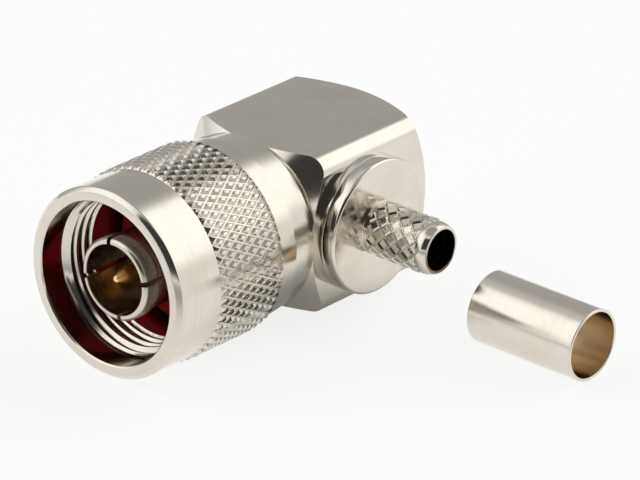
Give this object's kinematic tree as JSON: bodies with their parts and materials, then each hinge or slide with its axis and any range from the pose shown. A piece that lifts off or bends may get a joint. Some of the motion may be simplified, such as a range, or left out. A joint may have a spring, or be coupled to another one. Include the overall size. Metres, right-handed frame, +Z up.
{
  "type": "n type connector",
  "caption": "Right-angle coaxial plug: rotating knurled coupling nut around a slotted outer contact and gold pin, square angle body, knurled crimp stem, and its loose crimp ferrule.",
  "frame": {"origin": "centre of the outer contact's front end, the reference plane of the N interface, on the nut's axis", "axes": "+Y along the nut's axis from the mouth into the connector, +X along the cable axis out of the crimp stem, +Z up; the jack leaves along -Y"},
  "size_m": [0.0434, 0.0375, 0.0196],
  "materials": {
    "body_nickel": "polished nickel plate on brass",
    "nut_nickel": "nickel plate on brass, fine turned",
    "spring_ring": "spring bronze, plated",
    "red_rubber": "dark red silicone rubber",
    "contact_nickel": "nickel plate",
    "gold_plate": "gold plate on brass",
    "ptfe": "white PTFE",
    "stem_nickel": "nickel plate on brass",
    "cap_nickel": "nickel plate on brass",
    "ferrule_nickel": "nickel plate on annealed copper"
  },
  "bodies": {
    "connector_body": {"right_angle_body": "body_nickel", "gasket": "red_rubber", "outer_contact": "contact_nickel", "centre_contact": "gold_plate", "insulator": "ptfe", "crimp_stem": "stem_nickel", "rear_cap": "cap_nickel", "crimp_ferrule": "ferrule_nickel"},
    "coupling_nut": {"coupling_nut": "nut_nickel", "retaining_ring": "spring_ring"}
  },
  "joints": [
    {"name": "nut_spin", "type": "hinge", "parent": "connector_body", "child": "coupling_nut", "pos_m": [0, 0.012, 0], "axis": [0, 1, 0], "continuous": true}
  ]
}
